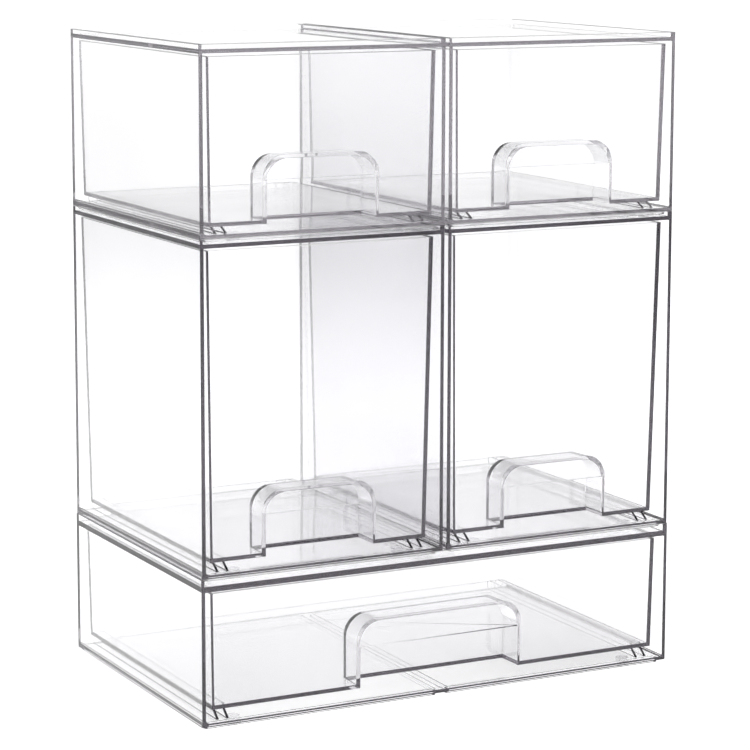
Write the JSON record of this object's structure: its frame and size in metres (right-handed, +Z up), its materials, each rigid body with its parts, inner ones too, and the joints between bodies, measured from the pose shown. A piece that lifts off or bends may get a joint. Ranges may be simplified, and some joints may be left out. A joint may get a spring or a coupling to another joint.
{
  "type": "stackable cosmetic organizer",
  "caption": "Clear stacking drawer organizer: a wide low module carries tall and short modules side by side, each with a pull-out drawer and an arched finger pull.",
  "frame": {"origin": "bottom centre of the whole stack, on the table under the pads", "axes": "+Z up, -Y to the open front where the drawers pull out, +X to the right of someone facing the front"},
  "size_m": [0.3214, 0.197, 0.4001],
  "materials": {
    "clear_casing": "polished, clear",
    "clear_drawer": "polished, clear",
    "clear_pad": "soft, clear"
  },
  "bodies": {
    "bottom_module": {"bottom_casing": "clear_casing", "bottom_pads": "clear_pad"},
    "bottom_drawer": {"bottom_drawer": "clear_drawer"},
    "middle_left_module": {"middle_left_casing": "clear_casing", "middle_left_pads": "clear_pad"},
    "middle_left_drawer": {"middle_left_drawer": "clear_drawer"},
    "middle_right_module": {"middle_right_casing": "clear_casing", "middle_right_pads": "clear_pad"},
    "middle_right_drawer": {"middle_right_drawer": "clear_drawer"},
    "top_left_module": {"top_left_casing": "clear_casing", "top_left_pads": "clear_pad"},
    "top_left_drawer": {"top_left_drawer": "clear_drawer"},
    "top_right_module": {"top_right_casing": "clear_casing", "top_right_pads": "clear_pad"},
    "top_right_drawer": {"top_right_drawer": "clear_drawer"}
  },
  "joints": [
    {"name": "bottom_drawer_slide", "type": "slide", "parent": "bottom_module", "child": "bottom_drawer", "axis": [0, -1, 0], "range_m": [0, 0.16]},
    {"name": "middle_left_drawer_slide", "type": "slide", "parent": "middle_left_module", "child": "middle_left_drawer", "axis": [0, -1, 0], "range_m": [0, 0.16]},
    {"name": "middle_right_drawer_slide", "type": "slide", "parent": "middle_right_module", "child": "middle_right_drawer", "axis": [0, -1, 0], "range_m": [0, 0.16]},
    {"name": "top_left_drawer_slide", "type": "slide", "parent": "top_left_module", "child": "top_left_drawer", "axis": [0, -1, 0], "range_m": [0, 0.16]},
    {"name": "top_right_drawer_slide", "type": "slide", "parent": "top_right_module", "child": "top_right_drawer", "axis": [0, -1, 0], "range_m": [0, 0.16]},
    {"name": "middle_left_lift", "type": "slide", "parent": "bottom_module", "child": "middle_left_module", "axis": [0, 0, 1], "range_m": [0, 0.04]},
    {"name": "middle_right_lift", "type": "slide", "parent": "bottom_module", "child": "middle_right_module", "axis": [0, 0, 1], "range_m": [0, 0.04]},
    {"name": "top_left_lift", "type": "slide", "parent": "middle_left_module", "child": "top_left_module", "axis": [0, 0, 1], "range_m": [0, 0.04]},
    {"name": "top_right_lift", "type": "slide", "parent": "middle_right_module", "child": "top_right_module", "axis": [0, 0, 1], "range_m": [0, 0.04]}
  ]
}
